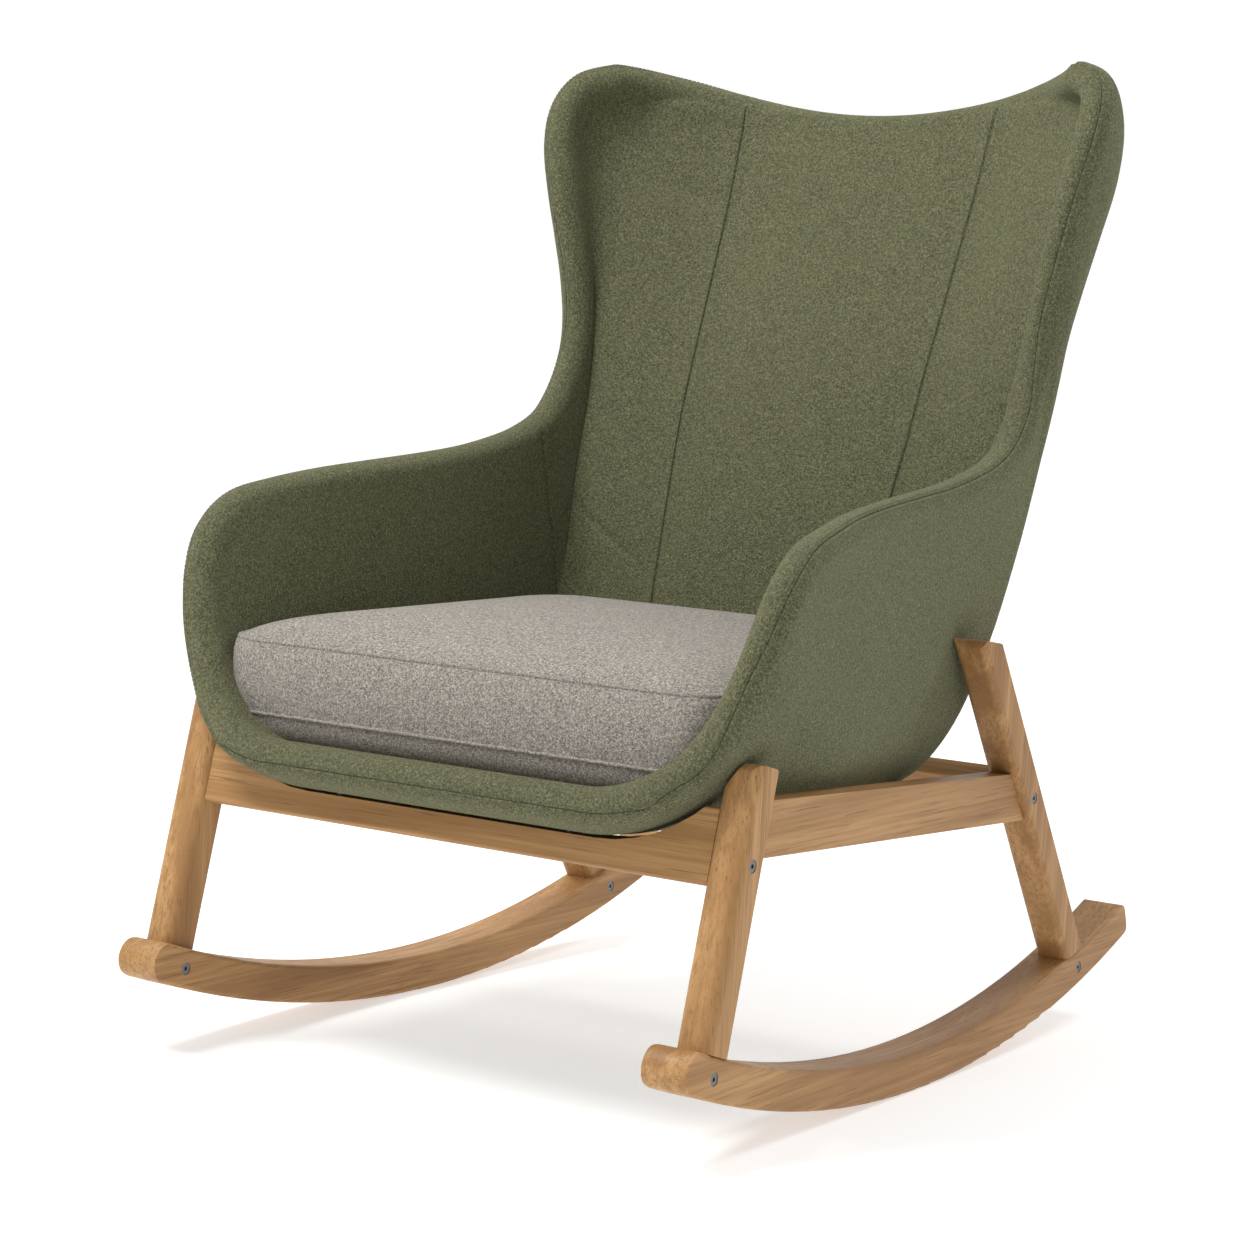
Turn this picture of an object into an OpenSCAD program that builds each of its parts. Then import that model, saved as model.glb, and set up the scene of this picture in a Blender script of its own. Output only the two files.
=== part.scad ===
// Rocking chair: oak rocker base, upholstered wing shell, loose seat cushion.
// Origin: on the floor, below the middle of the chair where the rockers touch it.
// The sitter faces -Y, so the sitter's left hand is at +X.

/* [Rockers] */
// Radius of the underside of each rocker
rocker_radius = 1307; // [1000:1:1800]
// Thickness of a rocker from underside to top
rocker_depth = 38; // [30:1:60]
// Width of a rocker across the chair
rocker_width = 46; // [36:1:64]
// Overall width over both rockers
base_width = 640; // [560:1:760]
// How far each rocker reaches ahead of the contact line
rocker_front = 436; // [400:1:600]
// How far each rocker reaches behind the contact line
rocker_rear = 463; // [400:1:600]

/* [Legs and rails] */
// Width of a leg across the chair
leg_width = 36; // [28:1:46]
// Thickness of a leg seen from the side
leg_depth = 36; // [30:1:50]
// Lean of the front legs, top towards the back, in degrees
front_lean = 13.9; // [5:0.1:22]
// Lean of the rear legs, top towards the front, in degrees
rear_lean = 35.2; // [20:0.1:40]
// Height of the top of the front legs
front_leg_top = 342; // [300:1:400]
// Height of the top of the rear legs
rear_leg_top = 430; // [380:1:480]
// Thickness of all four rails
rail_thickness = 24; // [18:1:30]
// Depth of the front rail
front_rail_depth = 68; // [50:1:90]
// Depth of the side rails
side_rail_depth = 50; // [36:1:60]
// Depth of the rear rail
rear_rail_depth = 56; // [40:1:80]

/* [Shell] */
// Thickness of the padded shell, cover to cover
shell_thickness = 36; // [30:1:48]
// Thickness of the moulded plywood core
core_thickness = 10; // [8:1:14]
// Thickness of the upholstery fabric
cover_thickness = 1.5; // [1:0.1:2.5]
// Extra padding behind the small of the back
lumbar_padding = 14; // [0:1:24]
// Padding that rounds out the inner corners of the back
corner_padding = 20; // [0:1:24]

/* [Cushion] */
// Thickness of the loose seat cushion
cushion_thickness = 104; // [60:1:120]
// Width of the cushion at the front
cushion_front_width = 528; // [400:1:540]
// Width of the cushion at the back
cushion_back_width = 452; // [360:1:500]

/* [Fasteners] */
// Diameter of the connector bolts and their sleeve nuts
bolt_d = 6; // [5:0.5:8]
// Diameter of the flat bolt heads
bolt_head_d = 12; // [10:0.5:16]
// Diameter of the cross dowel nuts in the rails
barrel_d = 10; // [8:0.5:12]
// Diameter of the wooden dowels
dowel_d = 8; // [6:0.5:10]

/* [Hidden] */
$fn = 48;
half = base_width / 2;
leg_x = half - leg_width / 2;
rocker_x = half - rocker_width / 2;
inner_radius = rocker_radius - rocker_depth;
mid_radius = rocker_radius - rocker_depth / 2;
fit = 0.2;
head_depth = 3;
head_recess = 0.6;
socket_d = 4.6;
tenon_length = 28;
tenon_width = 16;
tenon_depth = 24;
// Length of leg drawn below the tenon before the rocker's curve cuts it
foot_run_out = 55;

// Feet of the legs on the middle line of the rockers
front_foot_y = -391;
rear_foot_y = 347;
function arc_z(y, r) = rocker_radius - sqrt(r * r - y * y);
front_foot_z = arc_z(front_foot_y, mid_radius);
rear_foot_z = arc_z(rear_foot_y, mid_radius);

// Bolts through the legs into the ends of the front and rear rails
front_bolt_z = 258;
rear_bolt_z = 261;
function front_leg_y(z) = front_foot_y + (z - front_foot_z) * tan(front_lean);
function rear_leg_y(z) = rear_foot_y - (z - rear_foot_z) * tan(rear_lean);

// Side rails fall gently to the back
side_rail_slope = -2.6;
side_rail_mid_z = 272;
// The side rails thicken outwards, so that their inner faces stay clear of the shell
side_rail_inset = 32 - rail_thickness;
side_rail_x = half - side_rail_inset - rail_thickness / 2;
side_rail_front_y = -300;
side_rail_rear_y = 190;
function rail_mid_z(y) = side_rail_mid_z + y * tan(side_rail_slope);

// Bearer under the back of the seat
bearer_y = 20;
bearer_width = 70;
bearer_depth = 16;
seat_mid_z_at_bearer = 286.9;
seat_bolt_x = 130;

// Radius of the shell's front corners, at its middle surface
front_corner_r = 140;
// Height of its middle surface where it crosses the front rail
seat_front_z = 282;
// Middle surface of the shell: along the seat, up the back (y, z)
spine = [
  [-388, 295], [-373, 288], [-360, 284.5], [-347, 283], [-332, 282], [-316, 282],
  [-296, 282], [-265, 282], [-225, 283], [-170, 284], [-105, 285], [-38, 286],
  [30, 287], [98, 291], [148, 312], [181, 362], [206, 437], [231, 518],
  [255, 595], [276, 665], [299, 730], [322, 790], [343, 843], [359, 884],
  [372, 916], [382, 941]
];
// Rim of the shell: up the arm front, along the arm, up the wing (x, y, z)
rim = [
  [236, -382, 312], [262, -371, 330], [282, -361, 356], [299, -354, 388],
  [311, -347, 421], [319, -337, 458], [323, -320, 492], [321, -288, 517],
  [314, -240, 529], [304, -180, 539], [295, -110, 547], [289, -40, 554],
  [286, 30, 562], [284, 90, 573], [283, 135, 585], [281, 174, 604],
  [280, 202, 634], [279, 221, 672], [282, 232, 715], [289, 234, 765],
  [299, 232, 815], [310, 230, 865], [320, 234, 912], [322, 246, 950],
  [311, 264, 977], [284, 284, 988]
];
// Corner radius and narrowing of the lower part at each station
corner = [
  front_corner_r, front_corner_r, front_corner_r, front_corner_r, front_corner_r, front_corner_r,
  138, 124, 102, 80, 66, 56, 52, 54, 64, 76, 84, 88, 88, 88, 90, 95, 105, 125, 150, 180
];
narrow = [
  0, 0, 0.02, 0.04, 0.07, 0.09, 0.1, 0.11, 0.09, 0.06, 0.06, 0.08, 0.11,
  0.14, 0.14, 0.11, 0.07, 0.03, 0, 0, 0, 0, 0, 0, 0, 0
];
// Share of the corner padding at each station
corner_pad = [
  0, 0, 0, 0, 0, 0, 0, 0, 0, 0, 0, 0, 0, 0, 0.5, 0.8,
  1, 1, 1, 1, 1, 1, 0.8, 0.5, 0.25, 0
];
// How far the top of the back sweeps up to the wings at each station
crest = [
  0, 0, 0, 0, 0, 0, 0, 0, 0, 0, 0, 0, 0, 0, 0, 0,
  0, 0, 0, 0, 0, 0.15, 0.35, 0.6, 0.85, 1
];
// Share of the lumbar padding at each station
lumbar = [
  0, 0, 0, 0, 0, 0, 0, 0, 0, 0, 0, 0, 0, 0.15, 0.5, 0.85,
  1, 1, 0.8, 0.5, 0.25, 0.08, 0, 0, 0, 0
];
stations = len(spine);
side_steps = 11;
columns = 2 * side_steps + 1;
rim_steps = 6;
seam_step = 4;
bend_share = 110;
back_hollow = 8;

core_out = shell_thickness / 2 - cover_thickness - 5;
core_in = core_out - core_thickness;
foam_r = shell_thickness / 2 - cover_thickness;
cover_r = shell_thickness / 2;

// One point of a cross-section: a flat, a round corner, then a wall
function unit_v(v) = v / norm(v);
function bend_turn(i) =
  let(h = norm([rim[i][1] - spine[i][0], rim[i][2] - spine[i][1]]))
  h >= corner[i] ? 90 : acos(1 - h / corner[i]);
function flat_w(i) = rim[i][0] - corner[i] * sin(bend_turn(i));
function bend_w(i) = (corner[i] + bend_share) * bend_turn(i) * PI / 180;
function wall_w(i) = max(0, norm([rim[i][1] - spine[i][0], rim[i][2] - spine[i][1]]) - corner[i]);
function along_w(i, t) = abs(t) * (flat_w(i) + bend_w(i) + wall_w(i));
function section_point(i, t) =
  let(
    v = [rim[i][1] - spine[i][0], rim[i][2] - spine[i][1]],
    h = norm(v),
    x_end = rim[i][0],
    flat = flat_w(i),
    w = along_w(i, t),
    a = w < flat ? 0 : min(1, (w - flat) / bend_w(i)) * bend_turn(i),
    px = w < flat ? w : flat + corner[i] * sin(a),
    up = w < flat ? 0 : corner[i] * (1 - cos(a)) + max(0, w - flat - bend_w(i)),
    k = up / h,
    hollow = i > 13 ? back_hollow * pow(px / x_end, 2) * (1 - k) : 0,
    g = (up + hollow) / h,
    sweep = 1 - pow(1 - pow(min(1, px / x_end), 2), 1.4),
    x = px * (1 - narrow[i] * (1 - k))
  )
  [sign(t) * x, spine[i][0] + v[0] * g, spine[i][1] + v[1] * (g + (sweep - g) * crest[i])];

function step_t(j) = (j - side_steps) / side_steps;
mid_points = [
  for (i = [0 : stations - 1]) [for (j = [0 : columns - 1]) section_point(i, step_t(j))]
];

// Normals point to the sitter's side
function corner_cross(i, j, a, b) =
  let(
    i2 = i + a,
    j2 = j + b,
    ok = i2 >= 0 && i2 < stations && j2 >= 0 && j2 < columns
  )
  !ok ? [0, 0, 0] :
  let(
    d1 = mid_points[i2][j2] - mid_points[i][j],
    d2 = mid_points[i2][j] - mid_points[i][j2]
  )
  unit_v(cross(d1, d2)) * a * b;
function grid_normal(i, j) = unit_v(
  corner_cross(i, j, 1, 1) + corner_cross(i, j, -1, 1)
  + corner_cross(i, j, 1, -1) + corner_cross(i, j, -1, -1)
);
normals = [for (i = [0 : stations - 1]) [for (j = [0 : columns - 1]) grid_normal(i, j)]];

// The open edge of the grid, once round
edge = concat(
  [for (j = [0 : columns - 1]) [0, j]],
  [for (i = [1 : stations - 1]) [i, columns - 1]],
  [for (j = [1 : columns - 1]) [stations - 1, columns - 1 - j]],
  [for (i = [1 : stations - 2]) [stations - 1 - i, 0]]
);
edge_count = len(edge);
function edge_point(k) = let(e = edge[(k + edge_count) % edge_count]) mid_points[e[0]][e[1]];
function edge_normal(k) = let(e = edge[(k + edge_count) % edge_count]) normals[e[0]][e[1]];
function edge_out(k) =
  let(
    tangent = unit_v(edge_point(k + 1) - edge_point(k)) + unit_v(edge_point(k) - edge_point(k - 1))
  )
  unit_v(cross(tangent, edge_normal(k)));
edge_outs = [for (k = [0 : edge_count - 1]) edge_out(k)];

// Padding added on the sitter's side, nothing at the rim
function soft_bump(u) = pow(max(0, 1 - u * u), 2);
function extra(i, j) =
  lumbar_padding * lumbar[i] * soft_bump(step_t(j) / 0.8)
  + corner_padding * corner_pad[i]
  * soft_bump((along_w(i, step_t(j)) - flat_w(i) - bend_w(i) / 2) / (bend_w(i) / 2 + 40));
function sheet(d, with_extra) = [
  for (i = [0 : stations - 1]) for (j = [0 : columns - 1])
    mid_points[i][j] + normals[i][j] * (d + (with_extra ? extra(i, j) : 0))
];
function rim_row(r, n) =
  let(a = 90 - 180 * n / rim_steps)
  [for (k = [0 : edge_count - 1])
    edge_point(k) + edge_outs[k] * r * cos(a) + edge_normal(k) * r * sin(a)];

function sheet_faces(base, flip) = [
  for (i = [0 : stations - 2]) for (j = [0 : columns - 2])
    let(
      a = base + i * columns + j,
      b = a + 1,
      c = a + columns,
      d = c + 1
    )
    each (flip ? [[a, b, d], [a, d, c]] : [[a, d, b], [a, c, d]])
];
function edge_index(base, k) =
  let(e = edge[k % edge_count]) base + e[0] * columns + e[1];
// Band of faces between two rows that run round the edge. Where it climbs back up,
// its faces are split the other way, so that touching layers share their facets.
function band(p, q, climbs) = [
  for (k = [0 : edge_count - 1])
    let(n = (k + 1) % edge_count)
    each (
      climbs
      ? [[p[k], p[n], q[k]], [p[n], q[n], q[k]]]
      : [[p[k], p[n], q[n]], [p[k], q[n], q[k]]]
    )
];
function sheet_row(base) = [for (k = [0 : edge_count - 1]) edge_index(base, k)];
function loose_row(base) = [for (k = [0 : edge_count - 1]) base + k];
sheet_size = stations * columns;

// A layer of the shell: sheet a, rows of points round the edge, sheet b.
// The bands from number up_from to number up_to climb towards the sitter.
module layer(a, rows, b, up_from, up_to) {
  points = concat(a, b, [for (r = rows) each r]);
  chain = concat(
    [sheet_row(0)],
    [for (n = [0 : 1 : len(rows) - 1]) loose_row(2 * sheet_size + n * edge_count)],
    [sheet_row(sheet_size)]
  );
  faces = concat(
    sheet_faces(0, false),
    sheet_faces(sheet_size, true),
    [for (n = [0 : len(chain) - 2]) each band(chain[n], chain[n + 1], n >= up_from && n <= up_to)]
  );
  polyhedron(points, faces, convexity = 8);
}

// Seat bolts: two through the front rail, two through the bearer
front_seat_bolt = [front_leg_y(250) + 1, seat_front_z];
rear_seat_bolt = [bearer_y, seat_mid_z_at_bearer];
module at_seat_bolts() {
  for (s = [-1, 1]) {
    translate([s * seat_bolt_x, front_seat_bolt[0], front_seat_bolt[1]]) children();
    translate([s * seat_bolt_x, rear_seat_bolt[0], rear_seat_bolt[1]]) children();
  }
}
tee_barrel_d = bolt_d + 2.4;
tee_flange_d = 20;
tee_flange_h = 1.4;
// Room for the tee nut: a bore, and a shallow pocket for its flange
module tee_room() {
  translate([0, 0, -30]) cylinder(d = tee_barrel_d + fit, h = 40);
  translate([0, 0, -core_in - tee_flange_h - fit])
    cylinder(d = tee_flange_d + 2 * fit, h = tee_flange_h + 2.2);
}
module tee_nut() {
  difference() {
    union() {
      translate([0, 0, -core_out])
        cylinder(d = tee_barrel_d, h = core_thickness - tee_flange_h - 0.1);
      translate([0, 0, -core_in - tee_flange_h - 0.1]) cylinder(d = tee_flange_d, h = tee_flange_h);
    }
    translate([0, 0, -40]) cylinder(d = bolt_d + 0.1, h = 60);
  }
}

module shell_core() {
  color("BurlyWood")
  difference() {
    layer(sheet(-core_in, false), [], sheet(-core_out, false), 1, 0);
    at_seat_bolts() tee_room();
  }
}
module outer_foam() {
  color("LightYellow")
  difference() {
    layer(sheet(-core_out, false), [], sheet(-foam_r, false), 1, 0);
    at_seat_bolts() tee_room();
  }
}
module inner_foam() {
  color("Khaki")
  difference() {
    layer(
      sheet(foam_r, true),
      concat([for (n = [1 : rim_steps]) rim_row(foam_r, n)], [rim_row(core_out, rim_steps)]),
      sheet(-core_in, false),
      rim_steps,
      rim_steps + 1
    );
    at_seat_bolts() tee_room();
  }
}
module inner_cover() {
  color("DarkOliveGreen")
  layer(
    sheet(cover_r, true),
    concat(
      [for (n = [1 : seam_step]) rim_row(cover_r, n)],
      [for (n = [0 : seam_step - 1]) rim_row(foam_r, seam_step - n)]
    ),
    sheet(foam_r, true),
    seam_step + 1,
    2 * seam_step
  );
}
module outer_cover() {
  color("OliveDrab")
  difference() {
    layer(
      sheet(-foam_r, false),
      concat(
        [for (n = [0 : rim_steps - 1 - seam_step]) rim_row(foam_r, rim_steps - 1 - n)],
        [for (n = [seam_step : rim_steps - 1]) rim_row(cover_r, n)]
      ),
      sheet(-cover_r, false),
      0,
      rim_steps - seam_step
    );
    at_seat_bolts() tee_room();
  }
}

// Rounded rectangle drawn about its middle; front corners r1, back corners r2
module soft_rect(w, d, r1, r2) {
  for (s = [-1, 1]) {
    translate([s * (w / 2 - r1), -d / 2 + r1]) circle(r1);
    translate([s * (w / 2 - r2), d / 2 - r2]) circle(r2);
  }
  translate([-w / 2, -d / 2 + r1]) square([w, d - r1 - r2]);
  translate([-w / 2 + r1, -d / 2]) square([w - 2 * r1, r1]);
  translate([-w / 2 + r2, d / 2 - r2]) square([w - 2 * r2, r2]);
}
// Arc of points that rounds the corner at p between the ways a and b
function round_corner(p, a, b, r) =
  let(
    ua = unit_v(a),
    ub = unit_v(b),
    half_angle = acos(ua * ub) / 2,
    c = p + unit_v(ua + ub) * r / sin(half_angle),
    from = p + ua * r / tan(half_angle),
    to = p + ub * r / tan(half_angle),
    a0 = atan2(from[1] - c[1], from[0] - c[0]),
    turn = atan2(to[1] - c[1], to[0] - c[0]) - a0,
    span = turn > 180 ? turn - 360 : turn < -180 ? turn + 360 : turn
  )
  [for (k = [0 : 6]) c + r * [cos(a0 + span * k / 6), sin(a0 + span * k / 6)]];
// Draws a side view (y, z) and gives it a width across the chair
module side_view(x, w) {
  translate([x - w / 2, 0, 0]) rotate([90, 0, 90]) linear_extrude(w) children();
}

module rocker_blank() {
  translate([0, 0, rocker_radius]) rotate([0, 90, 0]) rotate_extrude($fn = 180)
    translate([mid_radius, 0]) rotate(90) soft_rect(rocker_width, rocker_depth, 4, 4);
}
function arc_point(a, r) = [r * sin(a), rocker_radius - r * cos(a)];
front_end = -asin((rocker_front - rocker_depth / 2) / mid_radius);
rear_end = asin(rocker_rear / mid_radius);
rear_end_r = 11;
// Rounded corner of the rocker's rear end, where the end face meets the circle of radius r
function rear_corner(r, r_other, first, second) =
  let(p = arc_point(rear_end, r))
  round_corner(
    p,
    (first ? arc_point(rear_end - 1, r) : arc_point(rear_end, r_other)) - p,
    (second ? arc_point(rear_end - 1, r) : arc_point(rear_end, r_other)) - p,
    rear_end_r
  );
module rocker_outline() {
  side_room = 6;
  sweep = rear_end - front_end;
  translate(arc_point(front_end, mid_radius)) circle(rocker_depth / 2 + 0.01);
  polygon(concat(
    [for (k = [0 : 12]) arc_point(front_end + sweep * k / 13, rocker_radius + side_room)],
    rear_corner(rocker_radius, inner_radius, true, false),
    rear_corner(inner_radius, rocker_radius, false, true),
    [for (k = [0 : 12]) arc_point(rear_end - sweep * (k + 1) / 13, inner_radius - side_room)]
  ));
}
// A leg tenon in the leg's own frame: x across, z along the leg
module tenon(grow) {
  translate([-tenon_width / 2 - grow, -tenon_depth / 2 - grow, -tenon_length / 2 - grow])
    cube([tenon_width + 2 * grow, tenon_depth + 2 * grow, tenon_length + 20]);
}
module at_front_foot() {
  translate([leg_x, front_foot_y, front_foot_z]) rotate([-front_lean, 0, 0]) children();
}
module at_rear_foot() {
  translate([leg_x, rear_foot_y, rear_foot_z]) rotate([rear_lean, 0, 0]) children();
}

// Bolt with a flat head; the head's outer face lies at x = 0, the shank runs to -x
module bolt(length) {
  rotate([0, -90, 0])
  difference() {
    union() {
      cylinder(d = bolt_head_d, h = head_depth);
      cylinder(d = bolt_d, h = length);
    }
    translate([0, 0, -1]) cylinder(d = socket_d, h = 3, $fn = 6);
  }
}
// Room for a bolt and its head, open beyond the face
module bolt_room(length) {
  rotate([0, -90, 0]) {
    translate([0, 0, -10]) cylinder(d = bolt_head_d + 2 * fit, h = head_depth + 10 + fit);
    cylinder(d = bolt_d + 2 * fit, h = length + 0.5);
  }
}
sleeve_d = bolt_d + 2.6;
sleeve_length = 26;
module sleeve_nut() {
  rotate([0, 90, 0])
  difference() {
    union() {
      cylinder(d = bolt_head_d, h = head_depth);
      cylinder(d = sleeve_d, h = sleeve_length);
    }
    translate([0, 0, -1]) cylinder(d = socket_d, h = 3, $fn = 6);
    translate([0, 0, head_depth]) cylinder(d = bolt_d + 0.1, h = sleeve_length);
  }
}
module sleeve_room() {
  rotate([0, 90, 0]) {
    translate([0, 0, -10]) cylinder(d = bolt_head_d + 2 * fit, h = head_depth + 10 + fit);
    cylinder(d = sleeve_d + 2 * fit, h = sleeve_length + 0.5);
  }
}
rocker_bolt_length = rocker_width - 2 * head_recess - head_depth - 3;
module rocker_bolt_rooms() {
  for (p = [[front_foot_y, front_foot_z], [rear_foot_y, rear_foot_z]]) {
    translate([half - head_recess, p[0], p[1]]) bolt_room(rocker_bolt_length);
    translate([half - rocker_width + head_recess, p[0], p[1]]) sleeve_room();
  }
}
module at_rocker_bolts(x) {
  for (p = [[front_foot_y, front_foot_z], [rear_foot_y, rear_foot_z]]) {
    translate([x, p[0], p[1]]) children();
  }
}

module rocker() {
  difference() {
    intersection() {
      translate([rocker_x, 0, 0]) rocker_blank();
      side_view(rocker_x, rocker_width + 2) rocker_outline();
    }
    at_front_foot() tenon(fit);
    at_rear_foot() tenon(fit);
    rocker_bolt_rooms();
  }
}

// Rails and their bolts
rail_bolt_length = leg_width + 38;
barrel_x = half - head_recess - rail_bolt_length + 8;
module rail_bolt_room() {
  translate([half - head_recess, front_leg_y(front_bolt_z), front_bolt_z]) bolt_room(rail_bolt_length);
  translate([half - head_recess, rear_leg_y(rear_bolt_z), rear_bolt_z]) bolt_room(rail_bolt_length);
}
barrel_length = 18;
module barrel(grow, open) {
  rotate([-90, 0, 0]) translate([0, 0, -barrel_length / 2])
    cylinder(d = barrel_d + 2 * grow, h = barrel_length + open);
}
module at_barrels() {
  translate([barrel_x, front_leg_y(front_bolt_z), front_bolt_z]) rotate([-front_lean, 0, 0]) children();
  translate([barrel_x, rear_leg_y(rear_bolt_z), rear_bolt_z]) rotate([rear_lean, 0, 0]) children();
}

// Dowels between the side rails and the legs
dowel_length = 40;
dowel_gap = 24;
module at_side_dowels() {
  for (k = [-1, 1]) {
    z1 = rail_mid_z(side_rail_front_y) + k * dowel_gap / 2;
    z2 = rail_mid_z(side_rail_rear_y) + k * dowel_gap / 2;
    translate([side_rail_x, front_leg_y(z1) + leg_depth / 2 / cos(front_lean), z1]) children();
    translate([side_rail_x, rear_leg_y(z2) - leg_depth / 2 / cos(rear_lean), z2]) children();
  }
}
module side_dowel(grow) {
  rotate([-90 + side_rail_slope, 0, 0]) translate([0, 0, -dowel_length / 2 - 5 * grow])
    cylinder(d = dowel_d + 2 * grow, h = dowel_length + 10 * grow);
}

module front_leg() {
  top_y = front_leg_y(front_leg_top);
  along = [sin(front_lean), cos(front_lean)];
  across = [cos(front_lean), -sin(front_lean)];
  top = [top_y, front_leg_top];
  foot = [front_foot_y, front_foot_z] - along * foot_run_out;
  d = leg_depth / 2;
  difference() {
    union() {
      intersection() {
        at_front_foot() translate([0, 0, -60]) linear_extrude(420) soft_rect(leg_width, leg_depth, 11, 4);
        side_view(leg_x, leg_width + 2) polygon(concat(
          [foot - across * (d + 1), foot + across * (d + 1)],
          round_corner(top + across * d, -along, -across, 7),
          round_corner(top - across * d, across, -along, 9)
        ));
        translate([0, 0, rocker_radius]) rotate([0, 90, 0]) cylinder(r = inner_radius, h = half, $fn = 180);
      }
      at_front_foot() tenon(0);
    }
    rocker_bolt_rooms();
    rail_bolt_room();
    at_side_dowels() side_dowel(0.1);
    shell_room();
  }
}
module rear_leg() {
  along = [-sin(rear_lean), cos(rear_lean)];
  across = [cos(rear_lean), sin(rear_lean)];
  d = leg_depth / 2;
  foot = [rear_foot_y, rear_foot_z] - along * foot_run_out;
  top_front = [rear_leg_y(rear_leg_top) - d / cos(rear_lean), rear_leg_top];
  top_back = [rear_leg_y(rear_leg_top) + d / cos(rear_lean), rear_leg_top - 6];
  difference() {
    union() {
      intersection() {
        at_rear_foot() translate([0, 0, -60]) linear_extrude(560) soft_rect(leg_width, leg_depth, 8, 4);
        side_view(leg_x, leg_width + 2) polygon(concat(
          [foot - across * (d + 1), foot + across * (d + 1)],
          round_corner(top_back, -along, top_front - top_back, 6),
          round_corner(top_front, top_back - top_front, -along, 6)
        ));
        translate([0, 0, rocker_radius]) rotate([0, 90, 0]) cylinder(r = inner_radius, h = half, $fn = 180);
      }
      at_rear_foot() tenon(0);
    }
    rocker_bolt_rooms();
    rail_bolt_room();
    at_side_dowels() side_dowel(0.1);
  }
}
module side_rail() {
  zt = side_rail_depth / 2;
  function at_front(k) =
    let(z = rail_mid_z(side_rail_front_y) + k * zt)
    [front_leg_y(z) + leg_depth / 2 / cos(front_lean), z];
  function at_rear(k) =
    let(z = rail_mid_z(side_rail_rear_y) + k * zt)
    [rear_leg_y(z) - leg_depth / 2 / cos(rear_lean), z];
  difference() {
    intersection() {
      side_view(side_rail_x, rail_thickness) polygon([at_front(-1), at_rear(-1), at_rear(1), at_front(1)]);
      translate([side_rail_x, 0, side_rail_mid_z]) rotate([90 + side_rail_slope, 0, 0])
        translate([0, 0, -400]) linear_extrude(800) soft_rect(rail_thickness, side_rail_depth + 4, 3, 3);
    }
    at_side_dowels() side_dowel(0.1);
    translate([0, bearer_y, bearer_mid_z]) bearer_dowel_row(0.1);
  }
}

// Room for the underside of the shell, cut from the front rail and the tops of the front legs
scoop_r = front_corner_r + cover_r + 1.2;
scoop_x = 163;
scoop_z = seat_front_z + front_corner_r;
module shell_room() {
  hull() {
    for (s = [-1, 1]) {
      translate([s * scoop_x, -500, scoop_z]) rotate([-90, 0, 0]) cylinder(r = scoop_r, h = 400);
    }
  }
}
front_rail_centre_z = 269;
rail_end = half - leg_width;
// Front rail, scooped on top to cradle the shell
module front_rail() {
  difference() {
    translate([0, front_leg_y(front_rail_centre_z), front_rail_centre_z])
      rotate([-front_lean, 0, 0]) translate([-rail_end, 1, 0]) rotate([0, 90, 0])
      linear_extrude(2 * rail_end) rotate(90) soft_rect(rail_thickness, front_rail_depth, 3, 3);
    shell_room();
    for (s = [0, 1]) {
      mirror([s, 0, 0]) {
        rail_bolt_room();
        at_barrels() barrel(fit / 2, 20);
      }
    }
    at_seat_bolts() seat_bolt_room(front_drop);
  }
}
module rear_rail() {
  difference() {
    translate([0, rear_leg_y(rear_bolt_z), rear_bolt_z]) rotate([rear_lean, 0, 0])
      translate([-rail_end, 0, 0]) rotate([0, 90, 0])
      linear_extrude(2 * rail_end) rotate(90) soft_rect(rail_thickness, rear_rail_depth, 3, 3);
    for (s = [0, 1]) {
      mirror([s, 0, 0]) {
        rail_bolt_room();
        at_barrels() barrel(fit / 2, 20);
      }
    }
  }
}

// Bearer: a flat cross bar between the side rails, carrying the back of the seat
bearer_mid_z = seat_mid_z_at_bearer - cover_r - 0.7 - bearer_depth / 2;
bearer_end = side_rail_x - rail_thickness / 2;
bearer_dowel_d = dowel_d - 2;
bearer_dowel_length = 26;
bearer_dowel_gap = 36;
bearer_dowel_into_bearer = 14;
module bearer_dowel_row(grow) {
  for (k = [-1, 1]) {
    translate([bearer_end - bearer_dowel_into_bearer - grow, k * bearer_dowel_gap / 2, 0])
      rotate([0, 90, 0]) cylinder(d = bearer_dowel_d + 2 * grow, h = bearer_dowel_length + 2 * grow);
  }
}
module bearer() {
  difference() {
    translate([-bearer_end, bearer_y, bearer_mid_z]) rotate([0, 90, 0])
      linear_extrude(2 * bearer_end) soft_rect(bearer_depth, bearer_width, 2, 2);
    for (s = [0, 1]) {
      mirror([s, 0, 0]) translate([0, bearer_y, bearer_mid_z]) bearer_dowel_row(0.1);
    }
    at_seat_bolts() seat_bolt_room(rear_drop);
  }
}
// Drop from the shell's middle surface to the underside of the bolt head
front_drop = 42;
rear_drop = 34;
module seat_bolt_room(drop) {
  translate([0, 0, -drop - head_depth - 20]) cylinder(d = bolt_head_d + 2 * fit, h = head_depth + 20.2);
  translate([0, 0, -drop - 1]) cylinder(d = bolt_d + 2 * fit, h = drop);
}
module seat_bolt(drop) {
  difference() {
    union() {
      translate([0, 0, -drop - head_depth]) cylinder(d = bolt_head_d, h = head_depth);
      translate([0, 0, -drop - head_depth]) cylinder(d = bolt_d, h = drop + head_depth - core_in - 1);
    }
    translate([0, 0, -drop - head_depth - 1]) cylinder(d = socket_d, h = 3, $fn = 6);
  }
}

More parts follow.
